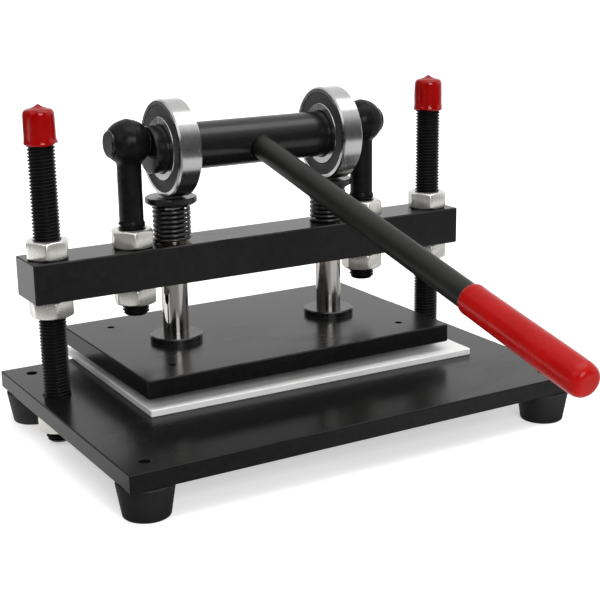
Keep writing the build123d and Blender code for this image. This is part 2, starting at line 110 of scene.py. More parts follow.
def between(tree, value, low, high):
    return calc(tree, "MINIMUM", calc(tree, "MAXIMUM", value, low), high)


def remap(tree, value, fromLow, fromHigh, toLow=0.0, toHigh=1.0, kind="LINEAR"):
    levels = {0: value, 1: fromLow, 2: fromHigh, 3: toLow, 4: toHigh}
    return addNode(tree, "ShaderNodeMapRange", levels, interpolation_type=kind).outputs[0]


def eased(tree, value, fromLow, fromHigh, toLow=0.0, toHigh=1.0):
    return remap(tree, value, fromLow, fromHigh, toLow, toHigh, "SMOOTHSTEP")


def fromNoise(tree, value, toLow=0.0, toHigh=1.0):
    # Most of a noise lies between 0.3 and 0.7
    return remap(tree, value, 0.3, 0.7, toLow, toHigh)


def mixColour(tree, amount, first, second):
    node = addNode(tree, "ShaderNodeMix", {0: amount}, data_type="RGBA", blend_type="MIX")
    linkOrSet(tree, node.inputs[6], first)
    linkOrSet(tree, node.inputs[7], second)
    return node.outputs[2]


def splitVector(tree, vector):
    return addNode(tree, "ShaderNodeSeparateXYZ", {0: vector}).outputs


def joinVector(tree, x, y, z):
    return addNode(tree, "ShaderNodeCombineXYZ", {0: x, 1: y, 2: z}).outputs[0]


def objectSpot(tree):
    return tree.nodes.new("ShaderNodeTexCoord").outputs["Object"]


def stretched(tree, vector, scale, turn=(0, 0, 0)):
    levels = {"Vector": vector, "Rotation": turn, "Scale": scale}
    return addNode(tree, "ShaderNodeMapping", levels).outputs[0]


def noiseValue(tree, vector, scale, detail=2.0, roughness=0.5, distortion=0.0):
    levels = {"Vector": vector, "Scale": scale, "Detail": detail, "Roughness": roughness}
    levels["Distortion"] = distortion
    return addNode(tree, "ShaderNodeTexNoise", levels).outputs[0]


def startTree(name, kind, wanted, made):
    # Wanted sockets are (label, kind) or (label, kind, first value)
    tree = bpy.data.node_groups.new(name, kind)
    for label, socketKind, *value in wanted:
        socket = tree.interface.new_socket(label, in_out="INPUT", socket_type="NodeSocket" + socketKind)
        if value:
            socket.default_value = value[0]
    for label, socketKind in made:
        tree.interface.new_socket(label, in_out="OUTPUT", socket_type="NodeSocket" + socketKind)
    return tree, tree.nodes.new("NodeGroupInput").outputs, tree.nodes.new("NodeGroupOutput").inputs


# Effects that several materials share
wearLevels = {"bend": (0.015, 0.16), "patch": (0.34, 0.62), "detail": 4.0, "roughness": 0.62}


def buildEdgeWear():
    wanted = [("Radius", "Float", 0.001), ("Amount", "Float", 1.0), ("Patch", "Float", 90.0)]
    tree, given, made = startTree("edgeWear", "ShaderNodeTree", wanted, [("Mask", "Float")])
    rounded = addNode(tree, "ShaderNodeBevel", {"Radius": given["Radius"]}, samples=6).outputs[0]
    normal = tree.nodes.new("ShaderNodeNewGeometry").outputs["Normal"]
    facing = addNode(tree, "ShaderNodeVectorMath", {0: rounded, 1: normal}, operation="DOT_PRODUCT")
    turned = eased(tree, minus(tree, 1.0, facing.outputs["Value"]), *wearLevels["bend"])
    patches = noiseValue(tree, objectSpot(tree), given["Patch"], wearLevels["detail"], wearLevels["roughness"])
    broken = remap(tree, patches, *wearLevels["patch"])
    linkOrSet(tree, made["Mask"], times(tree, turned, broken, given["Amount"]))
    return tree


grainLevels = {"broadShare": 0.13, "fineDetail": 3.0, "fineRoughness": 0.6}


def buildGrain():
    wanted = [("Scale", "Float", 900.0), ("Stretch", "Vector", (1, 1, 1)), ("Turn", "Vector", (0, 0, 0))]
    grains = [("Fine", "Float"), ("Broad", "Float")]
    tree, given, made = startTree("surfaceGrain", "ShaderNodeTree", wanted, grains)
    turned = stretched(tree, objectSpot(tree), given["Stretch"], given["Turn"])
    fine = noiseValue(tree, turned, given["Scale"], grainLevels["fineDetail"], grainLevels["fineRoughness"])
    broad = noiseValue(tree, turned, times(tree, given["Scale"], grainLevels["broadShare"]))
    linkOrSet(tree, made["Fine"], fine)
    linkOrSet(tree, made["Broad"], broad)
    return tree


smudgeLevels = {
    "streak": (1.0, 3.4, 1.6), "streakTurn": (0.3, 0.2, 0.7), "streakScale": 2.3, "threshold": 0.75, "band": 0.22,
}


def buildSmudges():
    wanted = [("Scale", "Float", 14.0), ("Cover", "Float", 0.5)]
    tree, given, made = startTree("handlingSmudges", "ShaderNodeTree", wanted, [("Mask", "Float")])
    spot = objectSpot(tree)
    clouds = noiseValue(tree, spot, given["Scale"], 5.0, 0.55, 0.6)
    drawn = stretched(tree, spot, smudgeLevels["streak"], smudgeLevels["streakTurn"])
    streaks = noiseValue(tree, drawn, times(tree, given["Scale"], smudgeLevels["streakScale"]), 3.0)
    both = times(tree, clouds, plus(tree, 0.5, streaks))
    low = minus(tree, smudgeLevels["threshold"], times(tree, given["Cover"], 0.5))
    linkOrSet(tree, made["Mask"], eased(tree, both, low, plus(tree, low, smudgeLevels["band"])))
    return tree


dustLevels = {"upward": (0.55, 0.98), "specks": (0.52, 0.74), "driftScale": 22.0, "drifts": (0.35, 0.7)}


def buildDust():
    wanted = [("Amount", "Float", 0.2), ("Scale", "Float", 600.0)]
    tree, given, made = startTree("restingDust", "ShaderNodeTree", wanted, [("Mask", "Float")])
    spot = objectSpot(tree)
    normal = splitVector(tree, tree.nodes.new("ShaderNodeNewGeometry").outputs["Normal"])
    upward = eased(tree, normal[2], *dustLevels["upward"])
    specks = remap(tree, noiseValue(tree, spot, given["Scale"], 2.0, 0.7), *dustLevels["specks"])
    drifts = remap(tree, noiseValue(tree, spot, dustLevels["driftScale"], 3.0), *dustLevels["drifts"])
    linkOrSet(tree, made["Mask"], times(tree, specks, drifts, upward, given["Amount"]))
    return tree


effectTrees = {
    "edgeWear": buildEdgeWear(), "surfaceGrain": buildGrain(),
    "handlingSmudges": buildSmudges(), "restingDust": buildDust(),
}


def effect(tree, name, **levels):
    node = tree.nodes.new("ShaderNodeGroup")
    node.node_tree = effectTrees[name]
    for key, value in levels.items():
        linkOrSet(tree, node.inputs[key[0].upper() + key[1:]], value)
    return node.outputs


def newMaterial(name, **constants):
    material = bpy.data.materials.new(name)
    material.use_nodes = True
    tree = material.node_tree
    shader = tree.nodes["Principled BSDF"]
    for label, value in constants.items():
        shader.inputs[label.replace("_", " ")].default_value = value
    return material, tree, shader


def setBump(tree, shader, height, distance, strength, under=None):
    node = addNode(tree, "ShaderNodeBump", {"Height": height, "Distance": distance, "Strength": strength})
    if under is not None:
        tree.links.new(under, node.inputs["Normal"])
    tree.links.new(node.outputs[0], shader.inputs["Normal"])
    return node.outputs[0]


def grey(level, warm=0.0):
    return (level * (1 + warm), level, level * (1 - warm), 1.0)


# Finishes, each with its own values
def blackenedSteel(name, look):
    material, tree, shader = newMaterial(name, Specular_IOR_Level=look["specular"], IOR=look["ior"])
    grain = effect(tree, "surfaceGrain", scale=look["grainScale"], stretch=look["grainStretch"])
    smudge = effect(tree, "handlingSmudges", scale=look["smudgeScale"], cover=0.45)[0]
    wear = effect(tree, "edgeWear", radius=look["wearRadius"], amount=look["wear"])[0]
    dust = effect(tree, "restingDust", amount=look["dust"])[0]
    base = mixColour(tree, fromNoise(tree, grain["Broad"]), look["dark"], look["light"])
    worn = mixColour(tree, wear, base, look["bare"])
    linkOrSet(tree, shader.inputs["Base Color"], mixColour(tree, dust, worn, look["dustColour"]))
    handled = remap(tree, smudge, 0, 1, look["roughness"], look["roughness"] + look["smudge"])
    grained = fromNoise(tree, grain["Fine"], -0.03, 0.03)
    linkOrSet(tree, shader.inputs["Roughness"], plus(tree, handled, grained, times(tree, dust, 0.3)))
    linkOrSet(tree, shader.inputs["Metallic"], times(tree, wear, 0.85))
    setBump(tree, shader, grain["Fine"], look["bumpDepth"], 0.6)
    return material


plateLook = {
    "dark": grey(0.0055), "light": grey(0.0085), "bare": grey(0.22, 0.03), "dustColour": grey(0.12, 0.06),
    "specular": 0.16, "ior": 1.5, "roughness": 0.22, "smudge": 0.05, "grainScale": 1500.0,
    "grainStretch": (1, 1, 1), "smudgeScale": 13.0, "wearRadius": 0.0009, "wear": 0.35, "dust": 0.10,
    "bumpDepth": 0.00003,
}
oxideLook = dict(
    plateLook, dark=grey(0.0030), light=grey(0.005), specular=0.14, roughness=0.40, wear=0.06,
    wearRadius=0.0004, dust=0.0,
)
turnedLook = dict(
    plateLook, dark=grey(0.0045), light=grey(0.0075), specular=0.42, roughness=0.25, grainScale=900.0,
    grainStretch=(5, 0.8, 0.8), wear=0.5,
)
springLook = dict(
    plateLook, dark=grey(0.009), light=grey(0.014), roughness=0.26, specular=0.6, wear=0.0, dust=0.0,
)
leverLook = {
    "dark": (0.0060, 0.0058, 0.0050, 1), "light": (0.0105, 0.0100, 0.0085, 1), "bare": grey(0.12, 0.05),
    "dustColour": grey(0.12, 0.06), "specular": 0.26, "ior": 1.5, "roughness": 0.46, "smudge": 0.08,
    "grainScale": 700.0, "grainStretch": (1, 0.35, 0.35), "smudgeScale": 22.0, "wearRadius": 0.0008,
    "wear": 0.3, "dust": 0.05, "bumpDepth": 0.00006,
}


def forgedSteel(name, look):
    # Drop forged and blackened: a lumpy skin with scale pits
    material, tree, shader = newMaterial(name, Specular_IOR_Level=look["specular"])
    spot = objectSpot(tree)
    lumps = noiseValue(tree, spot, look["lumpScale"], 4.0, 0.6)
    pitLevels = {"Vector": spot, "Scale": look["pitScale"]}
    pits = addNode(tree, "ShaderNodeTexVoronoi", pitLevels, feature="SMOOTH_F1").outputs["Distance"]
    wear = effect(tree, "edgeWear", radius=look["wearRadius"], amount=look["wear"])[0]
    smudge = effect(tree, "handlingSmudges", scale=30.0, cover=0.5)[0]
    base = mixColour(tree, remap(tree, lumps, 0.35, 0.65), look["dark"], look["light"])
    linkOrSet(tree, shader.inputs["Base Color"], mixColour(tree, wear, base, look["bare"]))
    linkOrSet(tree, shader.inputs["Metallic"], times(tree, wear, 0.8))
    uneven = fromNoise(tree, lumps, look["roughness"] - 0.05, look["roughness"] + 0.05)
    linkOrSet(tree, shader.inputs["Roughness"], plus(tree, uneven, times(tree, smudge, 0.08)))
    under = setBump(tree, shader, lumps, look["lumpDepth"], 0.7)
    setBump(tree, shader, pits, look["pitDepth"], 0.5, under)
    return material


forgedLook = {
    "dark": grey(0.0035), "light": grey(0.0065), "bare": grey(0.10, 0.03), "specular": 0.12, "roughness": 0.32,
    "wear": 0.12, "wearRadius": 0.0008, "lumpScale": 260.0, "lumpDepth": 0.00022, "pitScale": 900.0,
    "pitDepth": 0.00008,
}


def platedNut(name, look):
    # Satin nickel-like plating, a little warm, darker where it was handled
    material, tree, shader = newMaterial(name)
    grain = effect(tree, "surfaceGrain", scale=look["grainScale"], stretch=look["grainStretch"])
    smudge = effect(tree, "handlingSmudges", scale=30.0, cover=0.5)[0]
    wear = effect(tree, "edgeWear", radius=look["wearRadius"], amount=look["wear"], patch=look["wearPatch"])[0]
    base = mixColour(tree, smudge, look["light"], look["stained"])
    linkOrSet(tree, shader.inputs["Base Color"], mixColour(tree, wear, base, look["bright"]))
    metal = remap(tree, grain["Broad"], 0.2, 0.8, look["metallic"] - 0.06, look["metallic"] + 0.06)
    linkOrSet(tree, shader.inputs["Metallic"], metal)
    handled = remap(tree, smudge, 0, 1, look["roughness"], look["roughness"] + look["smudge"])
    linkOrSet(tree, shader.inputs["Roughness"], plus(tree, handled, fromNoise(tree, grain["Fine"], -0.02, 0.02)))
    setBump(tree, shader, grain["Fine"], look["bumpDepth"], 0.5)
    return material


nutLook = {
    "light": (0.70, 0.69, 0.645, 1), "stained": (0.64, 0.62, 0.57, 1), "bright": (0.85, 0.84, 0.80, 1),
    "metallic": 0.78, "roughness": 0.28, "smudge": 0.05, "grainScale": 1100.0, "grainStretch": (1, 1, 0.25),
    "wearRadius": 0.0006, "wear": 0.22, "wearPatch": 20.0, "bumpDepth": 0.000006,
}


def groundSteel(name, look):
    # Ground steel: its fine lines run along the axes on which the stretch is small
    material, tree, shader = newMaterial(name)
    lines = noiseValue(tree, stretched(tree, objectSpot(tree), look["stretch"]), look["scale"], 3.0, 0.7)
    smudge = effect(tree, "handlingSmudges", scale=24.0, cover=0.55)[0]
    base = mixColour(tree, fromNoise(tree, lines), look["dark"], look["light"])
    stained = mixColour(tree, times(tree, smudge, 0.5), base, look["stained"])
    linkOrSet(tree, shader.inputs["Base Color"], stained)
    shader.inputs["Metallic"].default_value = 1.0
    uneven = fromNoise(tree, lines, look["roughness"] - 0.04, look["roughness"] + 0.05)
    linkOrSet(tree, shader.inputs["Roughness"], plus(tree, uneven, times(tree, smudge, 0.08)))
    setBump(tree, shader, lines, look["bumpDepth"], 0.5)
    return material


ringLook = {
    "dark": grey(0.50), "light": grey(0.58, 0.01), "stained": grey(0.46, 0.03), "roughness": 0.20,
    "stretch": (1, 0.05, 0.05), "scale": 2600.0, "bumpDepth": 0.000012,
}
chromeLook = {
    "dark": grey(0.40, 0.04), "light": grey(0.47, 0.04), "stained": grey(0.36, 0.06), "roughness": 0.08,
    "stretch": (1, 1, 0.05), "scale": 1500.0, "bumpDepth": 0.000003,
}
cageLook = dict(ringLook, roughness=0.35, stretch=(1, 1, 1))
bushLook = dict(
    ringLook, dark=(0.10, 0.065, 0.03, 1), light=(0.14, 0.09, 0.045, 1), stained=(0.08, 0.055, 0.03, 1),
    roughness=0.4,
)


def moulded(name, look):
    # Rubber, vinyl or plastic board: faint mottling under a fine or orange-peel skin
    material, tree, shader = newMaterial(
        name, Specular_IOR_Level=look["specular"], Coat_Roughness=look["coatRoughness"],
        Subsurface_Weight=look["subsurface"], Subsurface_Scale=0.002, Subsurface_Radius=look["bleed"],
    )
    spot = objectSpot(tree)
    mottle = noiseValue(tree, spot, look["mottleScale"], 3.0, 0.55)
    smudge = effect(tree, "handlingSmudges", scale=32.0, cover=0.5)[0]
    dust = effect(tree, "restingDust", amount=look["dust"], scale=900.0)[0]
    base = mixColour(tree, fromNoise(tree, mottle), look["dark"], look["light"])
    linkOrSet(tree, shader.inputs["Base Color"], mixColour(tree, dust, base, grey(0.5, 0.05)))
    handled = plus(tree, look["roughness"], times(tree, smudge, look["smudge"]))
    linkOrSet(tree, shader.inputs["Roughness"], handled)
    setBump(tree, shader, noiseValue(tree, spot, look["peelScale"], 1.5, 0.4), look["peelDepth"], 0.8)
    return material


vinylLook = {
    "dark": (0.32, 0.0025, 0.002, 1), "light": (0.40, 0.0045, 0.0035, 1), "specular": 0.15,
    "coatRoughness": 0.12, "subsurface": 0.08, "bleed": (1.0, 0.12, 0.08), "roughness": 0.22, "smudge": 0.10,
    "mottleScale": 60.0, "peelScale": 210.0, "peelDepth": 0.00025, "dust": 0.0,
}
# The caps are the grip's red vinyl with a glossier finish. Their darker red is painted shade, for upright sides
# that get less light from above than the tilted grip
shadedCapLook = dict(
    vinylLook, dark=(0.25, 0.0010, 0.0008, 1), light=(0.31, 0.0020, 0.0016, 1), specular=0.26,
    roughness=0.12, smudge=0.03, peelDepth=0.00012,
)
rubberLook = {
    "dark": grey(0.008), "light": grey(0.012), "specular": 0.3, "coatRoughness": 0.3, "subsurface": 0.0,
    "bleed": (1, 1, 1), "roughness": 0.52, "smudge": 0.15, "mottleScale": 90.0, "peelScale": 1400.0,
    "peelDepth": 0.00005, "dust": 0.06,
}
sealLook = dict(rubberLook, dark=grey(0.030), light=grey(0.045), roughness=0.5, dust=0.0, peelScale=2000.0)
boardLook = {
    "dark": (0.80, 0.805, 0.80, 1), "light": (0.86, 0.86, 0.85, 1), "specular": 0.5, "coatRoughness": 0.3,
    "subsurface": 0.0, "bleed": (1.0, 1.0, 0.95), "roughness": 0.34, "smudge": 0.18, "mottleScale": 35.0,
    "peelScale": 700.0, "peelDepth": 0.00006, "dust": 0.0,
}

finishes = {
    "blackPlate": (blackenedSteel, plateLook), "blackOxide": (blackenedSteel, oxideLook),
    "turnedBlack": (blackenedSteel, turnedLook), "springSteel": (blackenedSteel, springLook),
    "leverSteel": (blackenedSteel, leverLook), "forgedBlack": (forgedSteel, forgedLook),
    "platedNut": (platedNut, nutLook), "groundRing": (groundSteel, ringLook),
    "chromeRod": (groundSteel, chromeLook), "cageSteel": (groundSteel, cageLook),
    "redVinyl": (moulded, vinylLook), "shadedCapVinyl": (moulded, shadedCapLook), "footRubber": (moulded, rubberLook),
    "sealRubber": (moulded, sealLook), "whiteBoard": (moulded, boardLook),
    "bronzeBush": (groundSteel, bushLook),
}
materials = {name: make(name, look) for name, (make, look) in finishes.items()}
print("stage: materials made")


# Short ways to make and hand over meshes
def addObject(name, mesh):
    made = bpy.data.objects.new(name, mesh)
    scene.collection.objects.link(made)
    return made


def smoothByAngle(mesh, degrees):
    shape = bmesh.new()
    shape.from_mesh(mesh)
    limit = math.radians(degrees)
    for face in shape.faces:
        face.smooth = True
        face.material_index = 0
    for edge in shape.edges:
        edge.smooth = len(edge.link_faces) != 2 or edge.calc_face_angle(0.0) < limit
    shape.to_mesh(mesh)
    shape.free()


def paint(mesh, material, smoothAngle):
    mesh.materials.clear()
    mesh.materials.append(material)
    smoothByAngle(mesh, smoothAngle)


def addPiece(name, mesh, material, smoothAngle):
    piece = addObject(name, mesh)
    paint(mesh, material, smoothAngle)
    return piece


def applyModifiers(piece):
    graph = bpy.context.evaluated_depsgraph_get()
    mesh = bpy.data.meshes.new_from_object(piece.evaluated_get(graph), depsgraph=graph)
    piece.modifiers.clear()
    piece.data = mesh
    return mesh


def softened(points, steps):
    # Points are (radius, height) or (radius, height, rounding); each rounding cuts its corner with an arc
    made = []
    for index, point in enumerate(points):
        here = Vector(point[:2])
        cut = point[2] if len(point) > 2 else 0.0
        if not cut:
            made.append(here)
            continue
        before = Vector(points[index - 1][:2]) - here
        after = Vector(points[(index + 1) % len(points)][:2]) - here
        start = here + before.normalized() * min(cut, before.length * 0.49)
        end = here + after.normalized() * min(cut, after.length * 0.49)
        for step in range(steps + 1):
            t = step / steps
            made.append(start * (1 - t) ** 2 + here * 2 * t * (1 - t) + end * t ** 2)
    return made


def turnedMesh(name, points, segments, place, ring=False, shift=None):
    # Revolves (radius, height) points round Z. A ring's section is closed; other sections end on the axis
    shape = bmesh.new()
    rows = []
    for radius, height in points:
        if radius < 1e-7:
            rows.append([shape.verts.new((0, 0, height))] * segments)
            continue
        row = []
        for index in range(segments):
            angle = 2 * math.pi * index / segments
            spot = Vector((radius * math.cos(angle), radius * math.sin(angle), height))
            row.append(shape.verts.new(spot + shift(spot, angle) if shift else spot))
        rows.append(row)
    pairs = list(zip(rows, rows[1:])) + ([(rows[-1], rows[0])] if ring else [])
    for lower, upper in pairs:
        for index in range(segments):
            after = (index + 1) % segments
            corners = []
            for corner in (lower[index], lower[after], upper[after], upper[index]):
                if corner not in corners:
                    corners.append(corner)
            if len(corners) > 2:
                shape.faces.new(corners)
    bmesh.ops.recalc_face_normals(shape, faces=shape.faces)
    mesh = bpy.data.meshes.new(name)
    shape.to_mesh(mesh)
    shape.free()
    mesh.transform(place)
    return mesh


def alongAxis(origin, direction):
    # Places a piece that was turned round Z on a line through origin
    return Matrix.Translation(origin) @ direction.to_track_quat("Z", "Y").to_matrix().to_4x4()


def roundX(angle):
    return Vector((math.cos(angle), math.sin(angle), 0))


def finishPiece(piece, body, slotName, *nodes):
    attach(piece, body)
    if nodes:
        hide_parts(*nodes)
    return piece


def growTree(name, tree, values, smoothAngle):
    holder = addObject(name, bpy.data.meshes.new(name))
    modifier = holder.modifiers.new("shape", "NODES")
    modifier.node_group = tree
    for item in tree.interface.items_tree:
        if item.item_type == "SOCKET" and item.in_out == "INPUT" and item.name in values:
            modifier[item.identifier] = values[item.name]
    paint(applyModifiers(holder), values["Material"], smoothAngle)
    return holder


# Short ways to shape meshes in node trees
def mergeClose(tree, geometry):
    levels = {"Geometry": geometry, "Distance": 0.000002}
    return addNode(tree, "GeometryNodeMergeByDistance", levels).outputs[0]


def closeTree(tree, geometry, material, made):
    realised = addNode(tree, "GeometryNodeRealizeInstances", {0: mergeClose(tree, geometry)}).outputs[0]
    painted = addNode(tree, "GeometryNodeSetMaterial", {"Geometry": realised, "Material": material})
    linkOrSet(tree, made["Geometry"], painted.outputs[0])


def pick(tree, index, values):
    node = tree.nodes.new("GeometryNodeIndexSwitch")
    node.data_type = "FLOAT"
    while len(node.index_switch_items) < len(values):
        node.index_switch_items.new()
    linkOrSet(tree, node.inputs["Index"], index)
    for place, value in enumerate(values):
        linkOrSet(tree, node.inputs[place + 1], value)
    return node.outputs[0]


def splitCount(tree, count, size):
    # How many whole rounds of a size a count holds, and what is left over
    rounds = calc(tree, "FLOOR", calc(tree, "DIVIDE", plus(tree, count, 0.5), size))
    return rounds, calc(tree, "ROUND", minus(tree, count, times(tree, rounds, size)))


def gridRows(tree, columns, rows):
    # A grid whose points are moved later: its mesh, and the column and the row of each point
    grid = addNode(tree, "GeometryNodeMeshGrid", {"Vertices X": columns, "Vertices Y": rows})
    return grid.outputs["Mesh"], *splitCount(tree, tree.nodes.new("GeometryNodeInputIndex").outputs[0], rows)


def endRows(tree, row, rows):
    # 1 at the first and the last row, which close the ends on their middle, and 0 between them
    first = calc(tree, "LESS_THAN", row, 0.5)
    return calc(tree, "MAXIMUM", first, calc(tree, "GREATER_THAN", row, minus(tree, rows, 1.5)))


def polarPoints(tree, mesh, radius, angle, height, centre=(0, 0, 0)):
    x = times(tree, radius, calc(tree, "COSINE", angle))
    y = times(tree, radius, calc(tree, "SINE", angle))
    spot = joinVector(tree, x, y, height)
    moved = addNode(tree, "ShaderNodeVectorMath", {0: spot, 1: centre}, operation="ADD").outputs[0]
    return addNode(tree, "GeometryNodeSetPosition", {"Geometry": mesh, "Position": moved}).outputs[0]


# A threaded rod: rows of the grid follow the crest and root lines of the helix
threadSection = {
    "phases": [0.0, 0.035, 0.075, 0.44, 0.50, 0.56, 0.925, 0.965],
    "depths": [0.0, 0.015, 0.07, 0.97, 1.0, 0.97, 0.07, 0.015],
}


def buildThreadTree():
    wanted = [
        ("Material", "Material"), ("Radius", "Float", 0.01), ("Depth", "Float", 0.0015),
        ("Pitch", "Float", 0.0025), ("Bottom", "Float", 0.0), ("Top", "Float", 0.1),
        ("Chamfer", "Float", 0.002), ("Place", "Vector", (0, 0, 0)), ("Segments", "Int", 56),
    ]
    tree, given, made = startTree("threadedRod", "GeometryNodeTree", wanted, [("Geometry", "Geometry")])
    perTurn = float(len(threadSection["phases"]))
    span = minus(tree, given["Top"], given["Bottom"])
    turns = calc(tree, "CEIL", plus(tree, calc(tree, "DIVIDE", span, given["Pitch"]), 2.0))
    rows = plus(tree, times(tree, turns, perTurn), 3.0)
    mesh, column, row = gridRows(tree, plus(tree, given["Segments"], 1), rows)
    angle = calc(tree, "DIVIDE", times(tree, column, 2 * math.pi), given["Segments"])
    lap, step = splitCount(tree, row, perTurn)
    turn = calc(tree, "DIVIDE", column, given["Segments"])
    rise = plus(tree, lap, pick(tree, step, threadSection["phases"]), minus(tree, turn, 2.0))
    height = calc(tree, "MULTIPLY_ADD", rise, given["Pitch"], given["Bottom"])
    height = between(tree, height, given["Bottom"], given["Top"])
    cut = times(tree, given["Depth"], pick(tree, step, threadSection["depths"]))
    fromBottom = minus(tree, height, given["Bottom"])
    nearEnd = calc(tree, "MINIMUM", fromBottom, minus(tree, given["Top"], height))
    cone = plus(tree, minus(tree, given["Radius"], given["Chamfer"]), nearEnd)
    radius = calc(tree, "MINIMUM", minus(tree, given["Radius"], cut), cone)
    inside = minus(tree, 1.0, endRows(tree, row, rows))
    shaped = polarPoints(tree, mesh, times(tree, radius, inside), angle, height, given["Place"])
    closeTree(tree, shaped, given["Material"], made)
    return tree


# Two nuts at once: a section of bore, face, chamfer and side, spread round a hexagon
nutSection = {"rows": 14, "mouth": 0.0009, "faceInset": 0.0007, "faceSlope": 28, "cornerCut": 0.16}


def buildNutTree():
    wanted = [
        ("Material", "Material"), ("Flats", "Float", 0.0292), ("Height", "Float", 0.016),
        ("Bore", "Float", 0.0101), ("Bottom", "Float", 0.0), ("Spread", "Float", 0.1), ("Line", "Float", 0.0),
        ("Left Turn", "Float", 0.0), ("Right Turn", "Float", 0.0), ("Corner", "Float", 0.0016),
        ("Edge", "Float", 0.0007), ("Segments", "Int", 168),
    ]
    tree, given, made = startTree("hexNutPair", "GeometryNodeTree", wanted, [("Geometry", "Geometry")])
    rowCount, mouth, edge = nutSection["rows"], nutSection["mouth"], given["Edge"]
    mesh, column, row = gridRows(tree, plus(tree, given["Segments"], 1), rowCount + 1)
    angle = calc(tree, "DIVIDE", times(tree, column, 2 * math.pi), given["Segments"])
    step = calc(tree, "MODULO", row, float(rowCount))
    mirrored = calc(tree, "MINIMUM", step, minus(tree, rowCount - 1.0, step))
    apothem = times(tree, given["Flats"], 0.5)
    sector = minus(tree, calc(tree, "MODULO", angle, math.pi / 3), math.pi / 6)
    hexagon = calc(tree, "DIVIDE", apothem, calc(tree, "COSINE", sector))
    cornerReach = calc(tree, "DIVIDE", apothem, math.cos(math.pi / 6))
    cornerRadius = minus(tree, cornerReach, times(tree, given["Corner"], nutSection["cornerCut"]))
    outline = calc(tree, "SMOOTH_MIN", hexagon, cornerRadius, given["Corner"])
    faceRadius = minus(tree, apothem, nutSection["faceInset"])
    radius = pick(tree, mirrored, [
        given["Bore"], plus(tree, given["Bore"], mouth), minus(tree, faceRadius, edge), faceRadius,
        minus(tree, outline, edge), minus(tree, outline, times(tree, edge, 0.25)), outline,
    ])
    slope = math.tan(math.radians(nutSection["faceSlope"]))
    fall = times(tree, calc(tree, "MAXIMUM", minus(tree, outline, faceRadius), 0.0), slope)
    beforeEdge = calc(tree, "MAXIMUM", minus(tree, fall, times(tree, edge, slope)), times(tree, edge, 0.16))
    depth = pick(tree, mirrored, [
        mouth, 0.0, 0.0, times(tree, edge, 0.12), beforeEdge, plus(tree, fall, times(tree, edge, 0.35)),
        plus(tree, fall, edge),
    ])
    upper = calc(tree, "GREATER_THAN", step, rowCount / 2 - 0.5)
    halfHeight = times(tree, given["Height"], 0.5)
    side = minus(tree, times(tree, upper, 2.0), 1.0)
    oneNut = polarPoints(tree, mesh, radius, angle, times(tree, minus(tree, halfHeight, depth), side))
    centre = plus(tree, given["Bottom"], halfHeight)
    start = joinVector(tree, times(tree, given["Spread"], -1.0), given["Line"], centre)
    offset = joinVector(tree, times(tree, given["Spread"], 2.0), 0.0, 0.0)
    line = {"Count": 2, "Start Location": start, "Offset": offset}
    places = addNode(tree, "GeometryNodeMeshLine", line).outputs[0]
    index = tree.nodes.new("GeometryNodeInputIndex").outputs[0]
    turn = joinVector(tree, 0.0, 0.0, pick(tree, index, [given["Left Turn"], given["Right Turn"]]))
    rotation = addNode(tree, "FunctionNodeEulerToRotation", {0: turn}).outputs[0]
    spread = {"Points": places, "Instance": mergeClose(tree, oneNut), "Rotation": rotation}
    standing = addNode(tree, "GeometryNodeInstanceOnPoints", spread).outputs[0]
    closeTree(tree, standing, given["Material"], made)
    return tree


# A return spring: a round wire swept up a helix of one pitch, with both ends ground flat
wireSection = {"sides": 18, "perTurn": 54}


def buildSpringTree():
    wanted = [
        ("Material", "Material"), ("Radius", "Float", 0.01295), ("Wire", "Float", 0.00135),
        ("Turns", "Float", 7.5), ("Bottom", "Float", 0.14), ("Top", "Float", 0.168),
        ("Ground", "Float", 0.0005), ("Start", "Float", 0.0), ("Place", "Vector", (0, 0, 0)),
    ]
    tree, given, made = startTree("returnSpring", "GeometryNodeTree", wanted, [("Geometry", "Geometry")])
    wireSides = wireSection["sides"]
    steps = calc(tree, "FLOOR", times(tree, given["Turns"], float(wireSection["perTurn"])))
    rows = plus(tree, steps, 3.0)
    mesh, column, row = gridRows(tree, wireSides + 1, rows)
    share = calc(tree, "DIVIDE", minus(tree, row, 1.0), minus(tree, rows, 3.0))
    share = between(tree, share, 0.0, 1.0)
    lift = minus(tree, given["Wire"], given["Ground"])
    low = plus(tree, given["Bottom"], lift)
    high = minus(tree, given["Top"], lift)
    middleLine = calc(tree, "MULTIPLY_ADD", share, minus(tree, high, low), low)
    turnAngle = plus(tree, times(tree, share, given["Turns"], 2 * math.pi), given["Start"])
    around = times(tree, column, -2 * math.pi / wireSides)
    wire = times(tree, given["Wire"], minus(tree, 1.0, endRows(tree, row, rows)))
    radius = calc(tree, "MULTIPLY_ADD", wire, calc(tree, "COSINE", around), given["Radius"])
    height = calc(tree, "MULTIPLY_ADD", wire, calc(tree, "SINE", around), middleLine)
    height = between(tree, height, given["Bottom"], given["Top"])
    shaped = polarPoints(tree, mesh, radius, turnAngle, height, given["Place"])
    closeTree(tree, shaped, given["Material"], made)
    return tree


threadTree = buildThreadTree()
nutTree = buildNutTree()
springTree = buildSpringTree()
print("stage: shape trees built")


# Places read from the solids
def middle(node):
    low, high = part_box(node)
    return (low + high) / 2


pressLine = middle("left_column").y
ringMiddle = middle("left_bearing_outer_ring")
shaftLine = Vector((0, ringMiddle.y, ringMiddle.z))
sides = ("left", "right")

# Edges that turn by these degrees or more stay sharp
smoothAngles = {"thread": 28, "nut": 40, "spring": 50, "dipped": 60, "seal": 50, "forging": 40}

# Columns
columnThread = {"Radius": 0.010, "Depth": 0.00153, "Pitch": 0.0025, "Chamfer": 0.0022, "Segments": 56}


def growThread(name, x, bottom, top):
    size = dict(columnThread, Material=materials["blackOxide"], Bottom=bottom, Top=top, Place=(x, pressLine, 0))
    return growTree(name, threadTree, size, smoothAngles["thread"])


for side in sides:
    low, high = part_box(side + "_column")
    rod = growThread(side + "_column_thread", middle(side + "_column").x, low.z, high.z)
    finishPiece(rod, "base", "black_oxide", side + "_column")

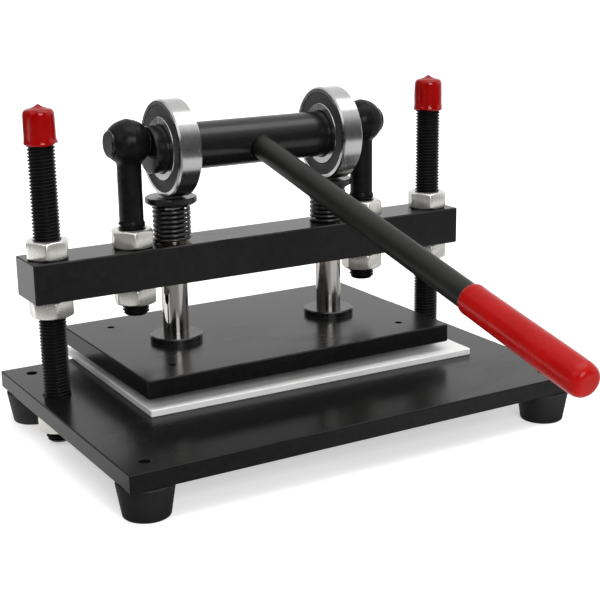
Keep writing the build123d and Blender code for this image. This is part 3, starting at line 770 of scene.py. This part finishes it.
# Nuts, each pair with its body and its left and right turn in degrees
nutSize = {"Flats": 0.0292, "Height": 0.0135, "Bore": 0.0101, "Corner": 0.0013, "Edge": 0.0006, "Segments": 168}
nutTurns = {
    "column_base_nuts": ("base", 6, 20),
    "column_lower_nuts": ("head", 23, 12), "column_upper_nuts": ("head", 8, 5),
    "eye_bolt_lower_nuts": ("head", 14, 19), "eye_bolt_upper_nuts": ("head", 14, 19),
}
for node, (body, leftTurn, rightTurn) in nutTurns.items():
    low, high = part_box(node)
    spread = middle("right_column" if node.startswith("column") else "right_eye_bolt").x
    bottom = low.z if "upper" in node else high.z - nutSize["Height"]
    size = dict(nutSize, Material=materials["platedNut"], Bottom=bottom, Spread=spread, Line=pressLine)
    size.update({"Left Turn": math.radians(leftTurn), "Right Turn": math.radians(rightTurn)})
    nuts = growTree(node.replace("nuts", "nut_pair"), nutTree, size, smoothAngles["nut"])
    finishPiece(nuts, body, "zinc_nut", node)
print("stage: columns and nuts made")

# Return springs
springSize = {"Radius": 0.01315, "Wire": 0.00135, "Turns": 7.5, "Ground": 0.00055}
springStarts = {"left": 0.6, "right": 2.4}
for side in sides:
    low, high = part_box(side + "_spring")
    place = ((low.x + high.x) / 2, pressLine, 0)
    size = dict(springSize, Material=materials["springSteel"], Bottom=low.z, Top=high.z)
    size.update(Start=springStarts[side], Place=place)
    coil = growTree(side + "_spring_coil", springTree, size, smoothAngles["spring"])
    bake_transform(coil)
    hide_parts(side + "_spring")

# Dipped caps of the columns. Each lip is torn at one angle, where it flares out and rises by these lengths
capShape = {
    "outer": 0.0113, "lip": 0.0117, "wall": 0.0101, "cone": 0.0034, "roof": 0.0020, "lower": 0.0011,
    "tears": {"left": (-0.75, 0.0016, 0.0022), "right": (-2.6, 0.0004, 0.0010)}, "tearWidth": 0.42,
    "lipHeight": 0.006, "outside": 0.0104, "swell": 0.00022, "ragged": 0.00035,
    "seeds": {"left": -1, "right": 1}, "segments": 96, "arcSteps": 7,
}


def capSection(bottom, top):
    outer, lip, wall = capShape["outer"], capShape["lip"], capShape["wall"]
    shoulder = top - capShape["cone"]
    inner = shoulder - capShape["roof"]
    return softened([
        (0, inner), (wall, inner, 0.0012), (wall, bottom + 0.0006, 0.0003), (lip - 0.0006, bottom, 0.0005),
        (lip + 0.0001, bottom + 0.0009, 0.0009), (lip - 0.0002, bottom + 0.0028, 0.0012),
        (outer, bottom + 0.0055, 0.002), (outer, bottom + 0.012), (outer - 0.0001, bottom + 0.018),
        (outer - 0.0004, shoulder - 0.0004, 0.0042), (0.0052, shoulder + 0.0009, 0.0022),
        (0.0022, top - 0.0012, 0.0016), (0.0008, top - 0.0001, 0.0006), (0, top),
    ], capShape["arcSteps"])


def capShift(side, bottom):
    tearAngle, flare, rise = capShape["tears"][side]
    seed = capShape["seeds"][side]

    def shift(spot, angle):
        way = roundX(angle)
        near = math.exp(-(math.remainder(angle - tearAngle, 2 * math.pi) / capShape["tearWidth"]) ** 2)
        low = max(0.0, 1 - (spot.z - bottom) / capShape["lipHeight"])
        swell = capShape["swell"] * noise.noise(Vector((way.x * 1.3 + seed * 7, way.y * 1.3, spot.z * 140)))
        ragged = capShape["ragged"] * noise.noise(Vector((way.x * 2.6, way.y * 2.6, seed * 3.0))) * low
        outward = flare * near * low ** 1.5 + swell if spot.xy.length > capShape["outside"] else 0.0
        return way * outward + Vector((0, 0, rise * near * low ** 2 + ragged))

    return shift


for side in sides:
    low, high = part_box(side + "_column_cap")
    centre = Vector(((low.x + high.x) / 2, pressLine, 0))
    section = capSection(low.z, high.z - capShape["lower"])
    name, place = side + "_dipped_cap", Matrix.Translation(centre)
    mesh = turnedMesh(name, section, capShape["segments"], place, shift=capShift(side, low.z))
    piece = addPiece(name, mesh, materials["shadedCapVinyl"], smoothAngles["dipped"])
    finishPiece(piece, "base", "red_vinyl", side + "_column_cap")

# Dipped grip of the lever
leverDrop = math.radians(13.2)
leverWay = Vector((0, -math.cos(leverDrop), -math.sin(leverDrop)))
gripShape = {
    "from": 0.2785, "to": 0.3875, "startRadius": 0.01025, "middleRadius": 0.0105, "endRadius": 0.01075,
    "bore": 0.0089, "floor": 0.3858, "outside": 0.0095, "swell": 0.00016, "segments": 96, "arcSteps": 9,
}


def gripSection():
    start, end, bore = gripShape["from"], gripShape["to"], gripShape["bore"]
    startRadius, endRadius = gripShape["startRadius"], gripShape["endRadius"]
    return softened([
        (0, gripShape["floor"]), (bore, gripShape["floor"]), (bore, start + 0.0003, 0.0002),
        (startRadius - 0.0006, start, 0.0007), (startRadius + 0.0002, start + 0.002, 0.0015),
        (startRadius, start + 0.008, 0.004), (gripShape["middleRadius"], end - 0.06),
        (endRadius, end - 0.025), (endRadius, end - 0.0003, 0.0085), (0, end),
    ], gripShape["arcSteps"])


def gripShift(spot, angle):
    way = roundX(angle)
    fade = 1.0 if spot.xy.length > gripShape["outside"] and spot.z < gripShape["to"] - 0.006 else 0.0
    return way * fade * gripShape["swell"] * noise.noise(Vector((way.x * 1.5, way.y * 1.5, spot.z * 60)))


place = alongAxis(shaftLine, leverWay)
mesh = turnedMesh("dipped_grip", gripSection(), gripShape["segments"], place, shift=gripShift)
piece = addPiece("dipped_grip", mesh, materials["redVinyl"], smoothAngles["dipped"])
finishPiece(piece, "rocker", "red_vinyl", "lever_grip")
print("stage: springs, caps and grip made")

# Bearing seals with their ridges
sealShape = {
    "inner": 0.02375, "outer": 0.0322, "face": 0.0082, "back": 0.0067, "dish": 0.0004,
    "ridges": (0.0262, 0.0274, 0.0286), "ridgeHalf": 0.0003, "ridge": 0.00022, "segments": 128, "arcSteps": 4,
}


def sealSection():
    inner, outer, face, back = (sealShape[key] for key in ("inner", "outer", "face", "back"))
    dished, half = face - sealShape["dish"], sealShape["ridgeHalf"]
    points = [
        (inner, back), (inner, face - 0.0001, 0.0003), (inner + 0.0013, face - 0.0001, 0.0003),
        (inner + 0.0017, dished),
    ]
    for ridge in sealShape["ridges"]:
        crest = dished + sealShape["ridge"]
        points += [(ridge - half, dished, 0.0002), (ridge, crest, 0.0002), (ridge + half, dished, 0.0002)]
    points += [
        (outer - 0.0026, dished, 0.0003), (outer - 0.0021, face, 0.0004), (outer - 0.0003, face, 0.0003),
        (outer, face - 0.0003), (outer, back),
    ]
    return softened(points, sealShape["arcSteps"])


for side in sides:
    both = bmesh.new()
    centre = shaftLine + Vector((middle(side + "_bearing_outer_ring").x, 0, 0))
    for face in (-1, 1):
        place = alongAxis(centre, Vector((face, 0, 0)))
        mesh = turnedMesh("sealHalf", sealSection(), sealShape["segments"], place, ring=True)
        both.from_mesh(mesh)
        bpy.data.meshes.remove(mesh)
    name = side + "_ridged_seals"
    mesh = bpy.data.meshes.new(name)
    both.to_mesh(mesh)
    both.free()
    piece = addPiece(name, mesh, materials["sealRubber"], smoothAngles["seal"])
    finishPiece(piece, side + "_roller", "seal_rubber", side + "_bearing_seals")

# Eye bolts. The ball starts at the height ballFrom. From flatFrom out, at its machined faces, it has no lumps
eyeShape = {
    "voxel": 0.00055, "ball": 0.017, "threadTop": 0.158, "shankOverlap": 0.0010, "threadOverlap": 0.0006,
    "bore": 0.01005, "ballFrom": 0.192, "ballFade": 0.010, "flatFrom": 0.0134, "flatFade": 0.002,
    "seam": 0.00035, "seamWidth": 0.0016, "lump": 0.00022, "lumpScale": 95, "seeds": {"left": -5, "right": 5},
    "drillReach": 0.02, "drillSegments": 96,
}


def cutShank(side, centre):
    # A copy of the solid, without the part of its shank that is threaded
    shape = bmesh.new()
    shape.from_mesh(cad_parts[side + "_eye_bolt"].data)
    bmesh.ops.remove_doubles(shape, verts=shape.verts, dist=0.00001)
    cut = Vector((centre.x, pressLine, eyeShape["threadTop"] - eyeShape["shankOverlap"]))
    whole = list(shape.verts) + list(shape.edges) + list(shape.faces)
    bmesh.ops.bisect_plane(shape, geom=whole, plane_co=cut, plane_no=(0, 0, -1), clear_outer=True)
    bmesh.ops.holes_fill(shape, edges=[edge for edge in shape.edges if edge.is_boundary])
    mesh = bpy.data.meshes.new(side + "_eye_forging")
    shape.to_mesh(mesh)
    shape.free()
    return mesh


def forgedHead(side):
    low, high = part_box(side + "_eye_bolt")
    centre = Vector(((low.x + high.x) / 2, pressLine, high.z - eyeShape["ball"]))
    piece = addObject(side + "_eye_forging", cutShank(side, centre))
    remesh = piece.modifiers.new("remesh", "REMESH")
    remesh.mode, remesh.voxel_size = "VOXEL", eyeShape["voxel"]
    smooth = piece.modifiers.new("smooth", "SMOOTH")
    smooth.factor, smooth.iterations = 0.5, 6
    seed = Vector((eyeShape["seeds"][side], 0, 0))
    for vertex in applyModifiers(piece).vertices:
        away = vertex.co - centre
        ball = max(0.0, min(1.0, (vertex.co.z - eyeShape["ballFrom"]) / eyeShape["ballFade"]))
        flat = max(0.0, min(1.0, (eyeShape["flatFrom"] - abs(away.x)) / eyeShape["flatFade"]))
        seam = math.exp(-(away.x / eyeShape["seamWidth"]) ** 2) * ball * eyeShape["seam"]
        lump = noise.noise(vertex.co * eyeShape["lumpScale"] + seed) * eyeShape["lump"] * (0.35 + 1.4 * ball)
        outward = away.normalized() if ball > 0.5 else Vector((away.x, away.y, 0)).normalized()
        vertex.co += outward * (lump + seam) * flat
    return piece, centre


def boreHead(piece, centre, side):
    radius, reach = eyeShape["bore"], eyeShape["drillReach"]
    rod = [Vector((0, -reach)), Vector((radius, -reach)), Vector((radius, reach)), Vector((0, reach))]
    name, place = side + "_drill", alongAxis(centre, Vector((1, 0, 0)))
    tool = addObject(name, turnedMesh(name, rod, eyeShape["drillSegments"], place))
    drill = piece.modifiers.new("bore", "BOOLEAN")
    drill.operation, drill.solver, drill.object = "DIFFERENCE", "EXACT", tool
    mesh = applyModifiers(piece)
    bpy.data.objects.remove(tool)
    return mesh


for side in sides:
    piece, centre = forgedHead(side)
    paint(boreHead(piece, centre, side), materials["forgedBlack"], smoothAngles["forging"])
    finishPiece(piece, "head", "black_oxide", side + "_eye_bolt")
    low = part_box(side + "_eye_bolt")[0]
    top = eyeShape["threadTop"] + eyeShape["threadOverlap"]
    finishPiece(growThread(side + "_eye_thread", centre.x, low.z, top), "head", "black_oxide")
print("stage: seals and eye bolts made")


# Finishes of the pieces that stay as they are
def onBothSides(*nodes):
    return [side + "_" + node for node in nodes for side in sides]


nodeFinishes = {
    "blackPlate": ["base_plate", "cross_beam", "platen"],
    "turnedBlack": ["eccentric_shaft", *onBothSides("rod_collar", "plunger_cap")],
    "leverSteel": ["lever_rod"],
    "blackOxide": ["foot_studs", "platen_screws", "collar_grub_screws"],
    "groundRing": onBothSides("bearing_outer_ring", "bearing_inner_ring", "bearing_balls"),
    "cageSteel": onBothSides("bearing_cage"),
    "chromeRod": onBothSides("guide_rod"),
    "bronzeBush": onBothSides("guide_bush"),
    "footRubber": ["rubber_feet"],
    "whiteBoard": ["cutting_board"],
}
for finish, nodes in nodeFinishes.items():
    for node in nodes:
        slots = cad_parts[node].data.materials
        slots.clear()
        slots.append(materials[finish])
print("stage: finishes on the solids set")

# Camera
cameraView = {
    "place": Vector((-0.475116, pressLine - 0.880479, 0.355288)),
    "right": Vector((0.8559964, -0.5168539, -0.011497)), "up": Vector((0.1518976, 0.2301864, 0.9612187)),
    "lens": 78.6013, "shiftX": -0.019357, "shiftY": 0.029091,
}
camera = addObject("camera", bpy.data.cameras.new("camera"))
scene.camera = camera
camera.data.sensor_width = 36
camera.data.lens = cameraView["lens"]
camera.data.shift_x, camera.data.shift_y = cameraView["shiftX"], cameraView["shiftY"]
camera.data.clip_start, camera.data.clip_end = 0.01, 50
back = cameraView["right"].cross(cameraView["up"])
turn = Matrix((cameraView["right"], cameraView["up"], back)).transposed().to_4x4()
camera.matrix_world = Matrix.Translation(cameraView["place"]) @ turn

# World: bright behind and at the right, a little dimmer overhead, dark in front and low at the left
room = {
    "backdrop": 1.15, "ceiling": 0.80, "front": 0.06, "leftRoom": 0.15, "lean": 0.18,
    "frontBack": (-0.72, -0.44), "horizon": (0.31, 0.45), "leftward": (-0.12, -0.34), "leftLow": (0.45, 0.75),
}
scene.view_settings.view_transform = "Standard"
world = bpy.data.worlds.new("studio")
scene.world = world
world.use_nodes = True
tree = world.node_tree
tree.nodes.clear()
way = splitVector(tree, tree.nodes.new("ShaderNodeTexCoord").outputs["Generated"])
sideways = plus(tree, way[1], times(tree, way[0], room["lean"]))
around = eased(tree, sideways, *room["frontBack"])
lowDown = eased(tree, way[2], *room["horizon"], 1, 0)
wall = remap(tree, around, 0, 1, room["front"], room["backdrop"])
level = times(tree, remap(tree, lowDown, 0, 1, room["ceiling"], 1.0), wall)
leftward = times(tree, eased(tree, way[0], *room["leftward"]), eased(tree, way[2], *room["leftLow"], 1, 0))
level = times(tree, level, remap(tree, leftward, 0, 1, 1, room["leftRoom"]))
unseen = addNode(tree, "ShaderNodeBackground", {"Strength": level, "Color": (1, 1, 1, 1)})
seen = addNode(tree, "ShaderNodeBackground", {"Strength": 1.0, "Color": (1, 1, 1, 1)})
toCamera = tree.nodes.new("ShaderNodeLightPath").outputs["Is Camera Ray"]
pair = addNode(tree, "ShaderNodeMixShader", {0: toCamera, 1: unseen.outputs[0], 2: seen.outputs[0]})
linkOrSet(tree, tree.nodes.new("ShaderNodeOutputWorld").inputs["Surface"], pair.outputs[0])

# Lamps
softboxes = {
    "keySoftbox": {"place": (-1.15, -0.25, 0.95), "target": (0, 0.1, 0.1), "size": (0.7, 0.7), "power": 1.8},
    "frontSoftbox": {"place": (-0.28, -1.30, 0.72), "target": (0, 0.1, 0.1), "size": (0.7, 0.7), "power": 12.5},
    "topSoftbox": {"place": (0.30, -0.12, 1.35), "target": (0.30, -0.12, 0), "size": (1.3, 0.66), "power": 6.4},
}
for name, values in softboxes.items():
    lamp = bpy.data.lights.new(name, "AREA")
    lamp.shape, lamp.energy = "RECTANGLE", values["power"]
    lamp.size, lamp.size_y = values["size"]
    box = addObject(name, lamp)
    box.location = values["place"]
    aim = Vector(values["target"]) - Vector(values["place"])
    box.rotation_euler = aim.to_track_quat("-Z", "Y").to_euler()
    box.visible_camera = False

# Floor of white paper, which glows for camera rays so that it reads white. Metal mirrors it with painted light,
# since it glows this way only in reflections: white behind, whiter at the left but dark in the far left corner,
# and as one bright patch in front that is stronger at the right. The patch's dimmer left end is a painted shadow
# of the machine
floorSheet = {
    "reach": 6.0, "dark": 0.05, "behind": 0.85, "behindFrom": (-0.05, 0.10),
    "left": 0.9, "leftFrom": (-0.15, -0.40), "leftBack": (0.05, 0.30),
    "front": 0.80, "frontFrom": (-0.02, -0.06), "frontTo": (-0.73, -0.52), "rightFrom": (-0.10, 0.12),
    "paintedShadowLevel": 0.32, "corner": 0.8, "cornerLeft": (-0.40, -0.60), "cornerBack": (0.75, 1.15),
    "glow": (0.50, 1.0), "glowFrom": (0.35, 1.4), "paper": 0.8, "paperMirrored": 0.05, "grain": 0.03,
    "grainScale": 300.0,
}
reach = floorSheet["reach"]
corners = [(-reach, -reach, 0), (reach, -reach, 0), (reach, reach, 0), (-reach, reach, 0)]
floorMesh = bpy.data.meshes.new("floor")
floorMesh.from_pydata(corners, [], [(0, 1, 2, 3)])
floor = addObject("floor", floorMesh)
floor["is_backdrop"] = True
paper = bpy.data.materials.new("studioPaper")
paper.use_nodes = True
tree = paper.node_tree
tree.nodes.clear()
spot = objectSpot(tree)
x, y = splitVector(tree, spot)[:2]
rays = tree.nodes.new("ShaderNodeLightPath").outputs
behind = eased(tree, y, *floorSheet["behindFrom"], floorSheet["dark"], floorSheet["behind"])
leftBack = times(tree, eased(tree, x, *floorSheet["leftFrom"]), eased(tree, y, *floorSheet["leftBack"]))
paintedShadowAtLeft = eased(tree, x, *floorSheet["rightFrom"], floorSheet["paintedShadowLevel"], 1.0)
patchStart, patchEnd = eased(tree, y, *floorSheet["frontFrom"]), eased(tree, y, *floorSheet["frontTo"])
paintedFrontPatch = times(tree, paintedShadowAtLeft, patchStart, patchEnd)
farLeft = times(tree, eased(tree, x, *floorSheet["cornerLeft"]), eased(tree, y, *floorSheet["cornerBack"]))
behind = minus(tree, behind, times(tree, farLeft, floorSheet["corner"]))
leftBack = times(tree, leftBack, minus(tree, 1.0, farLeft), floorSheet["left"])
# Painted reflection glow: the level the floor shows only to glossy rays, patch and painted shadow included
mirrored = plus(tree, behind, plus(tree, leftBack, times(tree, paintedFrontPatch, floorSheet["front"])))
away = addNode(tree, "ShaderNodeVectorMath", {0: spot}, operation="LENGTH").outputs["Value"]
whiteness = eased(tree, away, *floorSheet["glowFrom"], *floorSheet["glow"])
shown = times(tree, rays["Is Camera Ray"], whiteness)
level = plus(tree, shown, times(tree, rays["Is Glossy Ray"], mirrored))
colour = mixColour(tree, rays["Is Glossy Ray"], grey(floorSheet["paper"]), grey(floorSheet["paperMirrored"]))
grain = remap(tree, noiseValue(tree, spot, floorSheet["grainScale"]), 0, 1, 0, floorSheet["grain"])
matt = addNode(tree, "ShaderNodeBsdfDiffuse", {"Color": mixColour(tree, grain, colour, grey(0.7))})
glow = addNode(tree, "ShaderNodeEmission", {"Strength": level})
both = addNode(tree, "ShaderNodeAddShader", {0: matt.outputs[0], 1: glow.outputs[0]})
linkOrSet(tree, tree.nodes.new("ShaderNodeOutputMaterial").inputs["Surface"], both.outputs[0])
floorMesh.materials.append(paper)
print("stage: studio set")

low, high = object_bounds()
